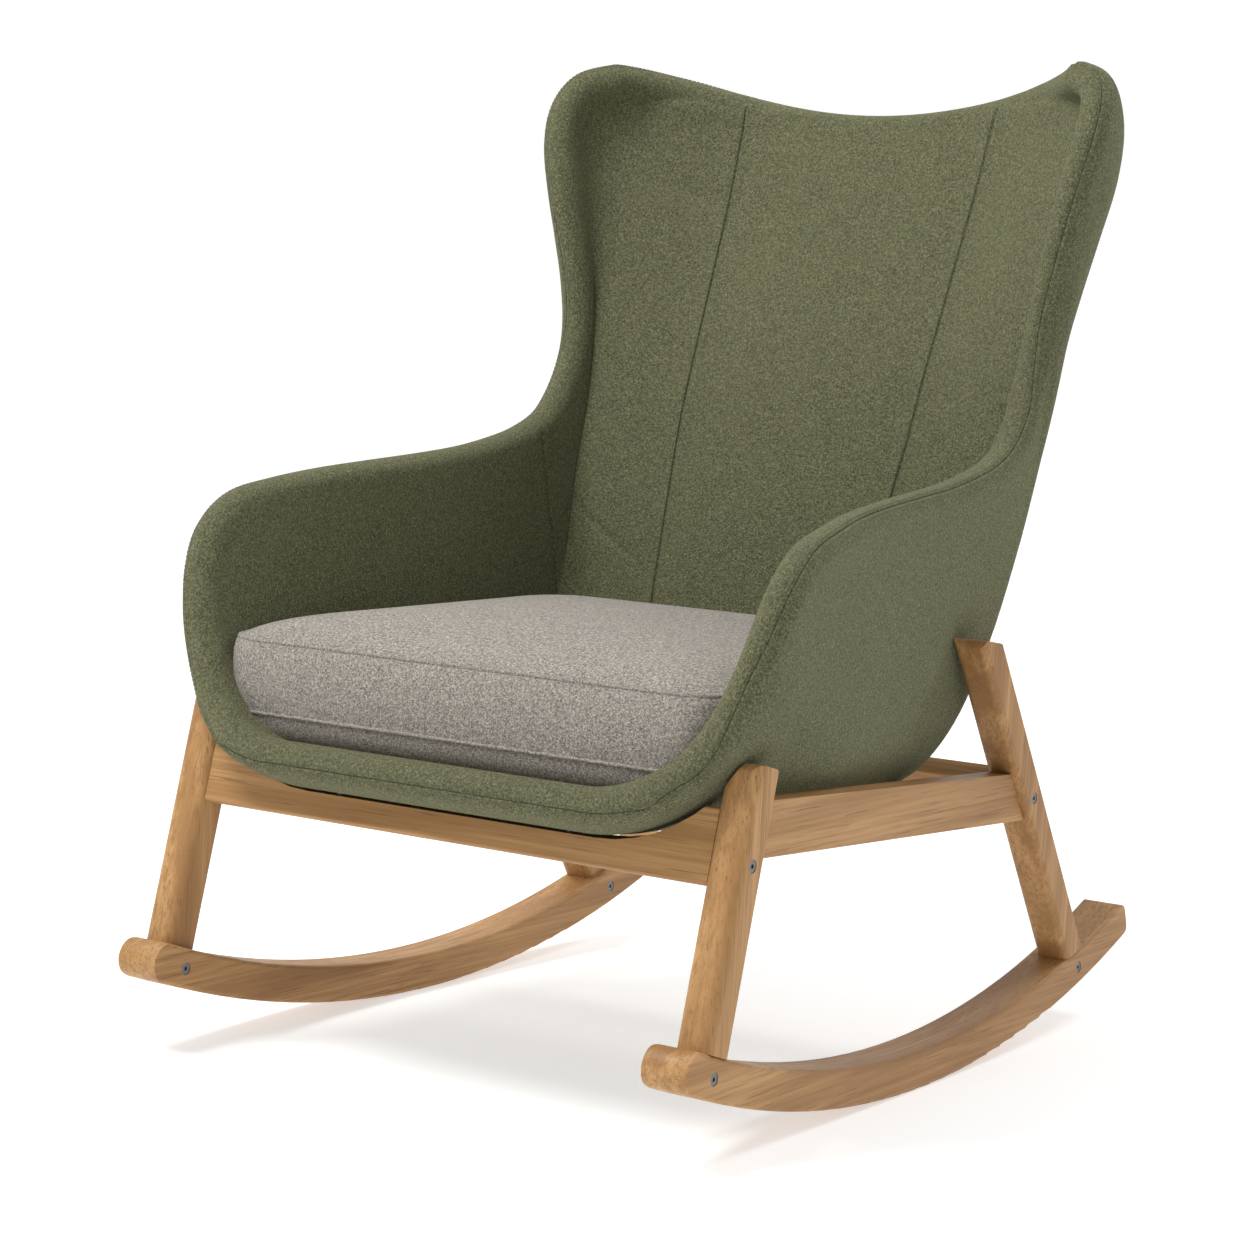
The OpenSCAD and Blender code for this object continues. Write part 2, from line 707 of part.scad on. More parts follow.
// Loose box cushion, crowned on top, narrower underneath to sit in the shell
cushion_bottom = 308.5;
cushion_front_y = -350;
cushion_back_y = 104;
module cushion_puck(x, y, z, r, h) {
  for (s = [-1, 1]) {
    translate([s * (x - r), y, z]) cylinder(r = r, h = h, $fn = 36);
  }
}
module seat_cushion() {
  r = 60;
  top = cushion_bottom + cushion_thickness;
  color("Gray")
  hull() {
    cushion_puck(cushion_front_width / 2 - 66, cushion_front_y + 80, cushion_bottom, 60, 1);
    cushion_puck(cushion_back_width / 2 - 36, cushion_back_y - 110, cushion_bottom, 60, 1);
    cushion_puck(cushion_front_width / 2 - 20, cushion_front_y + r, cushion_bottom + 34, r, 1);
    cushion_puck(cushion_front_width / 2 + 6, cushion_front_y + r, cushion_bottom + 62, r, 26);
    cushion_puck(cushion_back_width / 2, cushion_back_y - r - 6, cushion_bottom + 34, r, 54);
    cushion_puck(cushion_front_width / 2 - 30, cushion_front_y + 90, top - 6, r, 1);
    cushion_puck(cushion_back_width / 2 - 40, cushion_back_y - 100, top, r, 1);
  }
}

module left_and_right() {
  children();
  mirror([1, 0, 0]) children();
}

module rocker_left() { color("Peru") rocker(); }
module rocker_right() { color("Peru") mirror([1, 0, 0]) rocker(); }
module front_leg_left() { color("Peru") front_leg(); }
module front_leg_right() { color("Peru") mirror([1, 0, 0]) front_leg(); }
module rear_leg_left() { color("Peru") rear_leg(); }
module rear_leg_right() { color("Peru") mirror([1, 0, 0]) rear_leg(); }
module side_rail_left() { color("Peru") side_rail(); }
module side_rail_right() { color("Peru") mirror([1, 0, 0]) side_rail(); }
module rail_dowels() { color("Tan") left_and_right() at_side_dowels() side_dowel(0); }
module bearer_dowels() {
  color("Tan") left_and_right() translate([0, bearer_y, bearer_mid_z]) bearer_dowel_row(0);
}
module rocker_bolts() {
  color("SlateGray") left_and_right() at_rocker_bolts(half - head_recess) bolt(rocker_bolt_length);
}
module sleeve_nuts() {
  color("SlateGray") left_and_right() at_rocker_bolts(half - rocker_width + head_recess) sleeve_nut();
}
module rail_bolts() {
  color("SlateGray") left_and_right() {
    translate([half - head_recess, front_leg_y(front_bolt_z), front_bolt_z]) bolt(rail_bolt_length);
    translate([half - head_recess, rear_leg_y(rear_bolt_z), rear_bolt_z]) bolt(rail_bolt_length);
  }
}
module barrel_nuts() {
  color("Silver") left_and_right() at_barrels() difference() {
    barrel(0, 0);
    rotate([0, 90, 0]) translate([0, 0, -20]) cylinder(d = bolt_d + 0.1, h = 40);
  }
}
module seat_bolts_front() {
  color("SlateGray") for (s = [-1, 1]) {
    translate([s * seat_bolt_x, front_seat_bolt[0], front_seat_bolt[1]]) seat_bolt(front_drop);
  }
}
module seat_bolts_rear() {
  color("SlateGray") for (s = [-1, 1]) {
    translate([s * seat_bolt_x, rear_seat_bolt[0], rear_seat_bolt[1]]) seat_bolt(rear_drop);
  }
}
module tee_nuts() { color("Silver") at_seat_bolts() tee_nut(); }

rocker_left();
rocker_right();
front_leg_left();
front_leg_right();
rear_leg_left();
rear_leg_right();
front_rail();
rear_rail();
side_rail_left();
side_rail_right();
bearer();
rail_dowels();
bearer_dowels();
rocker_bolts();
sleeve_nuts();
rail_bolts();
barrel_nuts();
seat_bolts_front();
seat_bolts_rear();
tee_nuts();
shell_core();
inner_foam();
outer_foam();
inner_cover();
outer_cover();
seat_cushion();
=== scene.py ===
import math

import bpy
import numpy as np
from mathutils import Matrix, Vector


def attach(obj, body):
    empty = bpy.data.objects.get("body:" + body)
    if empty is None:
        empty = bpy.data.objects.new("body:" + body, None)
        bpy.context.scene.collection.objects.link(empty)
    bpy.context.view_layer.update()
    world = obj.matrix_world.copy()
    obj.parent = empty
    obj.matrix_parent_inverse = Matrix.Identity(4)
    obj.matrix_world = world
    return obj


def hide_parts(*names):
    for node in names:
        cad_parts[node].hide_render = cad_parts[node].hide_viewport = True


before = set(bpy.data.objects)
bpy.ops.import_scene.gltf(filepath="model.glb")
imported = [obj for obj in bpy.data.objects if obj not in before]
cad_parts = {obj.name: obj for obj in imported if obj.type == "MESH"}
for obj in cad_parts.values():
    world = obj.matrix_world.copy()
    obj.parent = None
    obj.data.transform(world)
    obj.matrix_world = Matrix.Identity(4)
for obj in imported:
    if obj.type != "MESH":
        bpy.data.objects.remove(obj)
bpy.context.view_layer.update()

# ---------------------------------------------------------------- oak base
# Solid European oak: two bent rockers, four leaning legs and four rails,
# planed, rounded over and finished with a clear satin oil.


class Tree:
    """A material's node tree, with short ways to add and join nodes."""

    def __init__(self, name):
        self.mat = bpy.data.materials.new(name)
        self.mat.use_nodes = True
        self.nodes = self.mat.node_tree.nodes
        self.links = self.mat.node_tree.links
        self.shader = self.nodes["Principled BSDF"]

    def add(self, kind, **inputs):
        node = self.nodes.new(kind)
        for key, value in inputs.items():
            self.put(node, key, value)
        return node

    def put(self, node, key, value):
        if key[0] == "i" and key[1:].isdigit():
            socket = node.inputs[int(key[1:])]
        else:
            names = {i.name.replace(" ", "_"): i for i in node.inputs if i.enabled}
            socket = names[key]
        if isinstance(value, bpy.types.NodeSocket):
            self.links.new(value, socket)
        else:
            socket.default_value = value

    def math(self, operation, a, b=0.0, c=0.0):
        node = self.add("ShaderNodeMath", i0=a, i1=b, i2=c)
        node.operation = operation
        return node.outputs[0]

    def ramp(self, factor, *stops):
        node = self.add("ShaderNodeValToRGB", Fac=factor)
        ramp = node.color_ramp
        while len(ramp.elements) < len(stops):
            ramp.elements.new(0.5)
        for element, (place, colour) in zip(ramp.elements, stops):
            element.position = place
            element.color = (*colour, 1.0)
        return node.outputs[0]

    def mask(self, factor, low, high, amount):
        """Nothing below the value low, amount above the value high."""
        return self.ramp(factor, (low, (0.0,) * 3), (high, (amount,) * 3))

    def noise(self, vector, scale, detail=3.0, rough=0.5):
        return self.add(
            "ShaderNodeTexNoise", Vector=vector, Scale=scale, Detail=detail, Roughness=rough
        ).outputs[0]

    def mapped(self, vector, scale, location=(0, 0, 0)):
        node = self.add("ShaderNodeMapping", Vector=vector, Scale=scale, Location=location)
        return node.outputs[0]

    def mix(self, factor, a, b, kind="MIX"):
        node = self.add("ShaderNodeMix")
        node.data_type = "RGBA"
        node.blend_type = kind
        self.put(node, "i0", factor)
        for socket, value in zip([node.inputs[6], node.inputs[7]], [a, b]):
            if isinstance(value, bpy.types.NodeSocket):
                self.links.new(value, socket)
            else:
                socket.default_value = (*value, 1.0)
        return node.outputs[2]

    def bump(self, height, strength, distance):
        return self.add(
            "ShaderNodeBump", Height=height, Strength=strength, Distance=distance
        ).outputs[0]


BAND_STRETCH, PORE_STRETCH = 0.055, 0.02
OAK_DARK, OAK_MID, OAK_LIGHT = (0.30, 0.150, 0.052), (0.41, 0.222, 0.083), (0.50, 0.288, 0.118)
OAK_FLECK, OAK_PORE, OAK_CLOUD = (0.26, 0.125, 0.042), (0.165, 0.075, 0.026), (0.52, 0.30, 0.125)


def oak_material(name, grain, offset):
    """Oak whose grain runs along the axis numbered grain."""
    t = Tree(name)
    place = t.add("ShaderNodeTexCoord").outputs["Object"]
    band_scale, pore_scale = [1.0, 1.0, 1.0], [1.0, 1.0, 1.0]
    band_scale[grain] = BAND_STRETCH
    pore_scale[grain] = PORE_STRETCH
    long = t.mapped(place, band_scale, offset)
    fine = t.mapped(place, pore_scale, offset)
    warp = t.noise(long, 9.0, 2.0)
    bands = t.noise(long, 42.0, 4.0, 0.55)
    growth = t.math("SINE", t.math("MULTIPLY_ADD", warp, 34.0, t.math("MULTIPLY", bands, 9.0)))
    pores = t.noise(fine, 620.0, 2.0, 0.6)
    fleck = t.noise(fine, 260.0, 3.0, 0.6)
    base = t.ramp(
        t.math("MULTIPLY_ADD", growth, 0.20, t.math("MULTIPLY", bands, 1.0)),
        (0.25, OAK_DARK),
        (0.5, OAK_MID),
        (0.78, OAK_LIGHT),
    )
    grained = t.mix(t.mask(fleck, 0.42, 0.66, 0.75), base, OAK_FLECK)
    pored = t.mix(t.mask(pores, 0.60, 0.68, 0.8), grained, OAK_PORE)
    cloud = t.noise(place, 3.2, 2.0)
    shaded = t.mix(t.mask(cloud, 0.35, 0.7, 0.28), pored, OAK_CLOUD)
    t.put(t.shader, "Base_Color", shaded)
    rough = t.math("MULTIPLY_ADD", fleck, 0.18, 0.42)
    t.put(t.shader, "Roughness", rough)
    t.shader.inputs["Specular IOR Level"].default_value = 0.30
    height = t.math("MULTIPLY_ADD", pores, -0.6, t.math("MULTIPLY", fleck, -0.4))
    t.put(t.shader, "Normal", t.bump(height, 0.22, 0.0006))
    return t.mat


def paint(node, material):
    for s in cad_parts[node].material_slots:
        s.material = material


ALONG_X, ALONG_Y, ALONG_Z = 0, 1, 2
GRAIN = {
    "rocker_left": ALONG_Y, "rocker_right": ALONG_Y,
    "front_leg_left": ALONG_Z, "front_leg_right": ALONG_Z,
    "rear_leg_left": ALONG_Z, "rear_leg_right": ALONG_Z,
    "side_rail_left": ALONG_Y, "side_rail_right": ALONG_Y,
    "front_rail": ALONG_X, "rear_rail": ALONG_X, "bearer": ALONG_X,
}
for number, (node, axis) in enumerate(GRAIN.items()):
    board = (0.31 * number, 0.17 * number, 0.23 * number)
    paint(node, oak_material("oak_" + node, axis, board))

# ------------------------------------------------------------- fasteners
# Flat-headed connector bolts with a hexagon socket, sleeve nuts, cross dowels
# and tee nuts, all in dark zinc plate; beech dowels locate the side rails and
# the bearer. The bent plywood that they hold is hidden by the covers.


def zinc_material():
    t = Tree("zinc_plate")
    place = t.add("ShaderNodeTexCoord").outputs["Object"]
    grain = t.noise(place, 900.0, 3.0)
    plate = t.ramp(grain, (0.3, (0.13, 0.135, 0.14)), (0.7, (0.24, 0.245, 0.25)))
    t.put(t.shader, "Base_Color", plate)
    t.shader.inputs["Metallic"].default_value = 0.85
    t.put(t.shader, "Roughness", t.math("MULTIPLY_ADD", grain, 0.25, 0.34))
    return t.mat


zinc = zinc_material()
for node in ("rocker_bolts", "sleeve_nuts", "rail_bolts", "barrel_nuts",
             "seat_bolts_front", "seat_bolts_rear", "tee_nuts"):
    paint(node, zinc)
beech = oak_material("beech_dowel", ALONG_Y, (3.0, 1.0, 2.0))
paint("rail_dowels", beech)
paint("bearer_dowels", beech)
paint("shell_core", oak_material("plywood_core", ALONG_Z, (5.0, 4.0, 1.0)))

# ------------------------------------------------------------- shell covers
# The bucket is moulded plywood padded with foam. One cover lines the inside and
# rolls over the rim; the other closes the outside; they meet in a seam that
# runs round the outer side of the rim, topstitched on both sides.

# One row for each station, from the front lip, over the seat, to the crest:
# SPINE is the depth and height of the middle; RIM is the half width, depth and
# height of the edge; CORNER is the radius where the flat turns up into the wall.
SPINE = np.array([
    (-388, 295), (-373, 288), (-360, 284.5), (-347, 283), (-332, 282), (-316, 282),
    (-296, 282), (-265, 282), (-225, 283), (-170, 284), (-105, 285), (-38, 286),
    (30, 287), (98, 291), (148, 312), (181, 362), (206, 437), (231, 518),
    (255, 595), (276, 665), (299, 730), (322, 790), (343, 843), (359, 884),
    (372, 916), (382, 941),
], float) / 1000
RIM = np.array([
    (236, -382, 312), (262, -371, 330), (282, -361, 356), (299, -354, 388),
    (311, -347, 421), (319, -337, 458), (323, -320, 492), (321, -288, 517),
    (314, -240, 529), (304, -180, 539), (295, -110, 547), (289, -40, 554),
    (286, 30, 562), (284, 90, 573), (283, 135, 585), (281, 174, 604),
    (280, 202, 634), (279, 221, 672), (282, 232, 715), (289, 234, 765),
    (299, 232, 815), (310, 230, 865), (320, 234, 912), (322, 246, 950),
    (311, 264, 977), (284, 284, 988),
], float) / 1000
CORNER = np.array([
    140, 140, 140, 140, 140, 140, 138, 124, 102, 80, 66, 56, 52, 54, 64, 76,
    84, 88, 88, 88, 90, 95, 105, 125, 150, 180,
], float) / 1000
# Share by which the flat is narrower than the rim.
NARROW = np.array([
    0, 0, 0.02, 0.04, 0.07, 0.09, 0.1, 0.11, 0.09, 0.06, 0.06, 0.08, 0.11,
    0.14, 0.14, 0.11, 0.07, 0.03, 0, 0, 0, 0, 0, 0, 0, 0,
])
# Radius of the same corner on the inside, where the padding softens it.
LINING_CORNER = np.array([
    140, 140, 140, 140, 140, 140, 138, 124, 104, 86, 76, 74, 80, 95, 116, 140,
    160, 175, 185, 190, 195, 200, 205, 210, 215, 220,
], float) / 1000
# Shares from 0 to 1: how far the top sweeps round, and how full the lumbar pad is.
CREST = np.array([0] * 21 + [0.15, 0.35, 0.6, 0.85, 1])
LUMBAR = np.array([0] * 13 + [0.15, 0.5, 0.85, 1, 1, 0.8, 0.5, 0.25, 0.08, 0, 0, 0, 0])
SHELL_T = 0.036
HALF = SHELL_T / 2
COVER_T = 0.0015
LUMBAR_PAD = 0.014
BACK_HOLLOW = 0.008
BEND_SHARE = 0.110
PANEL_T = 0.3
BACK_START = 13
SIDE_SEAMS = (14.35, 16.1)
ROW_GAP, COL_GAP = 0.045, 0.0045


def along(table, s):
    """Catmull-Rom interpolation of a table at the stations s."""
    table = np.asarray(table, float)
    last = len(table) - 1
    i = np.clip(np.floor(s).astype(int), 0, last - 1)
    f = (s - i).reshape(-1, *([1] * (table.ndim - 1)))
    p0, p1 = table[np.clip(i - 1, 0, last)], table[i]
    p2, p3 = table[i + 1], table[np.clip(i + 2, 0, last)]
    return 0.5 * (
        2 * p1 + (p2 - p0) * f + (2 * p0 - 5 * p1 + 4 * p2 - p3) * f**2
        + (3 * p1 - p0 - 3 * p2 + p3) * f**3
    )


def section(spine, rim, r, narrow, crest, hollow, t, panel):
    """Cross-sections of the shell at t from -1 to 1: a flat, a round corner, a wall."""
    v = rim[:, 1:] - spine
    h = np.linalg.norm(v, axis=1)
    turn = np.where(h >= r, math.pi / 2, np.arccos(np.clip(1 - h / r, -1, 1)))
    flat = rim[:, 0] - r * np.sin(turn)
    wall = np.maximum(0, h - r)
    bend_w = (r + BEND_SHARE) * turn
    total = flat + bend_w + wall
    over = np.arcsin(np.clip((panel - flat) / r, 0, 1))
    w_panel = np.where(panel <= flat, panel, flat + over / turn * bend_w)
    a, sign = np.abs(t), np.sign(t)
    w = np.where(
        a[None] < PANEL_T,
        a[None] / PANEL_T * w_panel[:, None],
        w_panel[:, None] + (a[None] - PANEL_T) / (1 - PANEL_T) * (total - w_panel)[:, None],
    )
    f, bw, rr = flat[:, None], bend_w[:, None], r[:, None]
    ang = np.clip((w - f) / bw, 0, 1) * turn[:, None]
    px = np.where(w < f, w, f + rr * np.sin(ang))
    up = np.where(w < f, 0, rr * (1 - np.cos(ang)) + np.maximum(0, w - f - bw))
    k = up / h[:, None]
    dip = hollow[:, None] * (px / rim[:, :1]) ** 2 * (1 - k)
    g = (up + dip) / h[:, None]
    x = sign[None] * px * (1 - narrow[:, None] * (1 - k))
    y = spine[:, :1] + v[:, :1] * g
    swoop = 1 - (1 - np.clip(px / rim[:, :1], 0, 1) ** 2) ** 1.4
    z = spine[:, 1:] + v[:, 1:] * (g + (swoop - g) * crest[:, None])
    return np.stack([x, y, z], -1)


def dense(start, end, count, marks, gap):
    """Values from start to end, with a tight cluster about each mark."""
    base = np.linspace(start, end, count)
    cluster = [m + gap * k for m in marks for k in (-2.4, -1.4, -0.7, 0, 0.7, 1.4, 2.4)]
    ends = (start, end)
    keep = [b for b in base if all(abs(b - m) > 3 * gap for m in marks) or b in ends]
    return np.array(sorted(keep + cluster))


LAST = len(SPINE) - 1
rows = dense(0, LAST, 150, SIDE_SEAMS, ROW_GAP)
half_cols = dense(0, 1, 66, (PANEL_T,), COL_GAP)
cols = np.concatenate([-half_cols[:0:-1], half_cols])
across = np.abs(cols)
hollow = BACK_HOLLOW * np.clip((rows - BACK_START) / 1.5, 0, 1)
panel_x = np.interp(rows, [0, 12, 17, LAST], [0.135, 0.135, 0.140, 0.160])
shape = (along(SPINE, rows), along(RIM, rows))
rest = (along(NARROW, rows), along(CREST, rows), hollow, cols, panel_x)
mid = section(*shape, along(CORNER, rows), *rest)
lining = section(*shape, along(LINING_CORNER, rows), *rest)
ROWS, COLS = mid.shape[:2]


def unit(v):
    return v / np.maximum(np.linalg.norm(v, axis=-1, keepdims=True), 1e-12)


def grid_normals(p):
    """Unit normals to the sitter's side, smoothed a little near the edge."""
    n = np.zeros_like(p)
    for a in (1, -1):
        for b in (1, -1):
            i = np.arange(max(0, -a), ROWS - max(0, a))
            j = np.arange(max(0, -b), COLS - max(0, b))
            here = p[np.ix_(i, j)]
            d1 = p[np.ix_(i + a, j + b)] - here
            d2 = p[np.ix_(i + a, j)] - p[np.ix_(i, j + b)]
            n[np.ix_(i, j)] += unit(np.cross(d1, d2) * a * b)
    for _ in range(6):
        pad = np.pad(n, ((1, 1), (1, 1), (0, 0)), mode="edge")
        beside = pad[2:, 1:-1] + pad[:-2, 1:-1] + pad[1:-1, 2:] + pad[1:-1, :-2]
        n = unit(n * 0.4 + 0.15 * beside)
    return n


normal = grid_normals(mid)
share = np.clip(1 - (across / 0.8) ** 2, 0, 1) ** 2
lumbar = LUMBAR_PAD * along(LUMBAR, rows)[:, None] * share[None]

edge = (
    [(0, j) for j in range(COLS)]
    + [(i, COLS - 1) for i in range(1, ROWS)]
    + [(ROWS - 1, j) for j in range(COLS - 2, -1, -1)]
    + [(i, 0) for i in range(ROWS - 2, 0, -1)]
)
edge_i, edge_j = np.array(edge).T
edge_p, edge_n = mid[edge_i, edge_j], normal[edge_i, edge_j]


ahead, behind = np.roll(edge_p, -1, 0) - edge_p, edge_p - np.roll(edge_p, 1, 0)
edge_tangent = unit(unit(ahead) + unit(behind))
edge_out = unit(np.cross(edge_tangent, edge_n))
for _ in range(4):
    beside = np.roll(edge_out, 1, 0) + np.roll(edge_out, -1, 0)
    edge_out = unit(0.5 * edge_out + 0.25 * beside)
edge_up = unit(edge_n - edge_out * (edge_n * edge_out).sum(-1, keepdims=True))


def rim_row(radius, degrees):
    """Points round the rim: 90 degrees is the sitter's side, -90 the outer side."""
    a = math.radians(degrees)
    return edge_p + radius * (edge_out * math.cos(a) + edge_up * math.sin(a))


def mesh_piece(name, points, faces, material):
    mesh = bpy.data.meshes.new(name)
    mesh.from_pydata([tuple(p) for p in points], [], [tuple(map(int, f)) for f in faces])
    mesh.materials.append(material)
    mesh.polygons.foreach_set("use_smooth", [True] * len(mesh.polygons))
    mesh.update()
    piece = bpy.data.objects.new(name, mesh)
    bpy.context.scene.collection.objects.link(piece)
    return piece


def cover(name, sheet_out, sheet_in, ring_out, ring_in, flip, material):
    """A cloth cover: a sheet carried on round the rim by rings, with its thickness."""
    size = ROWS * COLS
    sheets = [sheet_out.reshape(-1, 3), sheet_in.reshape(-1, 3)]
    points = np.concatenate([*sheets, *ring_out, *ring_in])
    i, j = np.meshgrid(np.arange(ROWS - 1), np.arange(COLS - 1), indexing="ij")
    a = (i * COLS + j).ravel()
    quads = np.stack([a, a + 1, a + COLS + 1, a + COLS], -1)
    faces = [quads, quads[:, ::-1] + size]
    first = edge_i * COLS + edge_j
    rings = [2 * size + n * len(edge) + np.arange(len(edge)) for n in range(2 * len(ring_out))]
    outside = [first] + rings[:len(ring_out)]
    inside = [first + size] + rings[len(ring_out):]
    chain = outside + inside[::-1]
    for p, q in zip(chain[:-1], chain[1:]):
        faces.append(np.stack([p, q, np.roll(q, -1), np.roll(p, -1)], -1))
    faces = np.concatenate(faces)
    if flip:
        faces = faces[:, ::-1]
    return mesh_piece(name, points, faces, material)


OLIVE_DARK, OLIVE_MID, OLIVE_LIGHT = (0.036, 0.038, 0.018), (0.110, 0.113, 0.058), (0.255, 0.250, 0.145)
OLIVE_FLECK, OLIVE_WORN, OLIVE_SHADE = (0.36, 0.35, 0.23), (0.17, 0.175, 0.095), (0.02, 0.02, 0.01)


def green_material():
    """Boucle wool: matted loops in two olive yarns with pale flecks."""
    t = Tree("olive_boucle")
    place = t.add("ShaderNodeTexCoord").outputs["Object"]
    loops = t.add("ShaderNodeTexVoronoi", Vector=place, Scale=640.0).outputs["Distance"]
    curl = t.noise(place, 980.0, 4.0, 0.65)
    clump = t.noise(place, 430.0, 3.0, 0.6)
    cloud = t.noise(place, 22.0, 3.0, 0.6)
    matted = t.math("MULTIPLY_ADD", clump, 0.9, t.math("MULTIPLY", loops, -0.7))
    height = t.math("MULTIPLY_ADD", curl, 0.8, matted)
    yarn = t.ramp(
        t.math("MULTIPLY_ADD", clump, 0.45, t.math("MULTIPLY", curl, 0.55)),
        (0.38, OLIVE_DARK),
        (0.5, OLIVE_MID),
        (0.61, OLIVE_LIGHT),
    )
    flecked = t.mix(t.mask(t.noise(place, 560.0, 2.0), 0.62, 0.72, 0.5), yarn, OLIVE_FLECK)
    worn = t.mix(t.mask(cloud, 0.35, 0.7, 0.16), flecked, OLIVE_WORN)
    t.put(t.shader, "Base_Color", t.mix(0.10, worn, OLIVE_SHADE))
    t.shader.inputs["Roughness"].default_value = 0.95
    t.shader.inputs["Specular IOR Level"].default_value = 0.12
    t.shader.inputs["Sheen Weight"].default_value = 0.22
    t.shader.inputs["Sheen Roughness"].default_value = 0.55
    t.shader.inputs["Sheen Tint"].default_value = (0.62, 0.64, 0.42, 1.0)
    t.put(t.shader, "Normal", t.bump(height, 0.85, 0.0016))
    return t.mat


green = green_material()

SEAM_DEPTH, SEAM_SWELL = 0.0022, 0.0007


def pulled(gap):
    """A seam pulls the cloth in, and the padding swells a little on each side of it."""
    swell = SEAM_SWELL * np.exp(-(((gap - 3.0) / 1.6) ** 2))
    return swell - SEAM_DEPTH * np.exp(-((gap / 0.9) ** 2))


# The panel seams run up the back; the lower side seams reach the rim, and the
# upper ones stop short of it.
LOW_SEAM_START, HIGH_SEAM_START, HIGH_SEAM_END = 0.34, 0.40, 0.86
col_gap = np.abs(across[None] - PANEL_T) / COL_GAP
relief = pulled(col_gap) * np.clip((rows - BACK_START) / 2, 0, 1)[:, None]
low_reach = np.clip((across - LOW_SEAM_START) / 0.05, 0, 1)
high_reach = np.clip((across - HIGH_SEAM_START) / 0.05, 0, 1)
high_reach = high_reach * np.clip((HIGH_SEAM_END - across) / 0.06, 0, 1)
for seam, reach in zip(SIDE_SEAMS, (low_reach, high_reach)):
    row_gap = np.abs(rows - seam)[:, None] / ROW_GAP
    relief = relief + pulled(row_gap) * reach[None]

# The lining's softer corner fades out towards the rim and the crest.
inward = np.clip((1 - across) / 0.5, 0, 1)
inward = inward * inward * (3 - 2 * inward)
below_crest = np.clip((rows[-1] - rows) + 0.3, 0, 1)
fade = inward[None, :, None] * below_crest[:, None, None]
base = mid + (lining - mid) * fade
normal_in = unit(normal + (grid_normals(base) - normal) * fade)
lift = (HALF + lumbar)[..., None]
inner_out = base + normal_in * (lift + relief[..., None])
inner_in = base + normal_in * (lift - COVER_T)
outer_out = mid - normal * HALF
outer_in = mid - normal * (HALF - COVER_T)

SEAM_AT, SEAM_SLIT = -32, 0.5
TUCK_OUT, TUCK_IN = HALF - 0.0012, HALF - 0.0022


def rim_rings(steps, seam):
    """Outer and inner rings of a cover over the rim, tucked in at the seam."""
    outer = [rim_row(HALF, a) for a in steps] + [rim_row(TUCK_OUT, seam)]
    inner = [rim_row(HALF - COVER_T, a) for a in steps] + [rim_row(TUCK_IN, seam)]
    return outer, inner


inner_rings = rim_rings([*range(75, SEAM_AT, -12), SEAM_AT + 5], SEAM_AT)
outer_rings = rim_rings([*range(-80, SEAM_AT, 10), SEAM_AT - 5], SEAM_AT - SEAM_SLIT)
inner_cover = cover("inner_cover_cloth", inner_out, inner_in, *inner_rings, False, green)
outer_cover = cover("outer_cover_cloth", outer_out, outer_in, *outer_rings, True, green)
for piece, nodes in (
    (inner_cover, ("inner_cover", "inner_foam")),
    (outer_cover, ("outer_cover", "outer_foam")),
):
    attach(piece, "chair")
    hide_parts(*nodes)

# ------------------------------------------------------------- topstitching
# Thick olive thread, sewn in a row on each side of the rim seam, all the way
# round it, and of the two panel seams that run up the back.


def thread_material():
    t = Tree("olive_thread")
    place = t.add("ShaderNodeTexCoord").outputs["Object"]
    twist = t.noise(place, 1500.0, 2.0)
    strands = t.ramp(twist, (0.3, (0.06, 0.062, 0.03)), (0.7, (0.15, 0.152, 0.08)))
    t.put(t.shader, "Base_Color", strands)
    t.shader.inputs["Roughness"].default_value = 0.8
    return t.mat


thread = thread_material()


